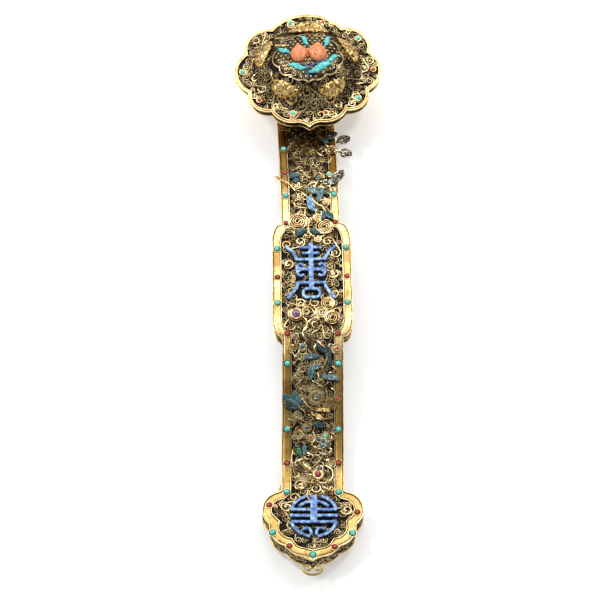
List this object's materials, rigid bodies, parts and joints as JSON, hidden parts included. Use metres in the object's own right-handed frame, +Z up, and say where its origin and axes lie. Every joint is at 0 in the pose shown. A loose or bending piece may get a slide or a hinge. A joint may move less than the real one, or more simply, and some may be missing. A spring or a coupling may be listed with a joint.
{
  "type": "ruyi sceptre",
  "caption": "Gilt-silver filigree ruyi sceptre: curved shaft with lobed foot, domed cloud-shaped head with bats and peaches, coral and turquoise stones, blue enamel fret emblems.",
  "frame": {"origin": "centre of the underside of the bounding box, on the surface that the sceptre lies on", "axes": "+Y along the sceptre from the foot to the head, +Z up out of the face, +X to the right seen from above with the head at the top"},
  "size_m": [0.1068, 0.4354, 0.0564],
  "materials": {
    "gilt_silver": "polished gilt silver with filigree",
    "gilt_relief": "polished gilt silver in relief",
    "turquoise": "satin turquoise",
    "coral": "polished coral",
    "peach_coral": "satin coral",
    "leaf_turquoise": "satin turquoise",
    "blue_enamel": "worn blue enamel",
    "teal_enamel": "dark teal enamel",
    "gilt_wire": "darkened gilt wire"
  },
  "bodies": {
    "root": {"bat_left": "gilt_relief", "bat_lower_left": "gilt_relief", "bat_lower_right": "gilt_relief", "bat_right": "gilt_relief", "bat_top": "gilt_relief", "border_stone_left_01": "turquoise", "border_stone_left_02": "coral", "border_stone_left_03": "turquoise", "border_stone_left_05": "turquoise", "border_stone_left_06": "coral", "border_stone_left_07": "turquoise", "border_stone_left_08": "coral", "border_stone_left_09": "turquoise", "border_stone_left_10": "coral", "border_stone_left_11": "turquoise", "border_stone_left_12": "coral", "border_stone_left_13": "turquoise", "border_stone_left_14": "coral", "border_stone_right_01": "turquoise", "border_stone_right_02": "coral", "border_stone_right_03": "turquoise", "border_stone_right_04": "coral", "border_stone_right_05": "turquoise", "border_stone_right_06": "coral", "border_stone_right_07": "turquoise", "border_stone_right_08": "coral", "border_stone_right_09": "turquoise", "border_stone_right_10": "coral", "border_stone_right_11": "turquoise", "border_stone_right_14": "coral", "emblem_long": "blue_enamel", "emblem_round": "blue_enamel", "flower_amethyst": "gilt_wire", "flower_five_petals": "teal_enamel", "flower_ringed": "gilt_wire", "flower_ruby": "gilt_wire", "foot_loop": "gilt_silver", "foot_stone_left_low": "turquoise", "foot_stone_left_side": "coral", "foot_stone_left_tip": "coral", "foot_stone_right_low": "turquoise", "foot_stone_right_side": "coral", "foot_stone_right_tip": "coral", "foot_stone_tip": "turquoise", "head_case": "gilt_silver", "head_medallion": "gilt_silver", "leaf_border": "teal_enamel", "leaf_cluster": "teal_enamel", "leaf_pair": "teal_enamel", "leaf_top_middle": "leaf_turquoise", "leaf_top_right": "leaf_turquoise", "leaf_upper_left": "leaf_turquoise", "peach_left": "peach_coral", "peach_right": "peach_coral", "peach_spray": "leaf_turquoise", "shaft_case": "gilt_silver", "spray_blossom": "gilt_wire", "spray_lower": "teal_enamel", "spray_wings": "teal_enamel"}
  },
  "joints": []
}
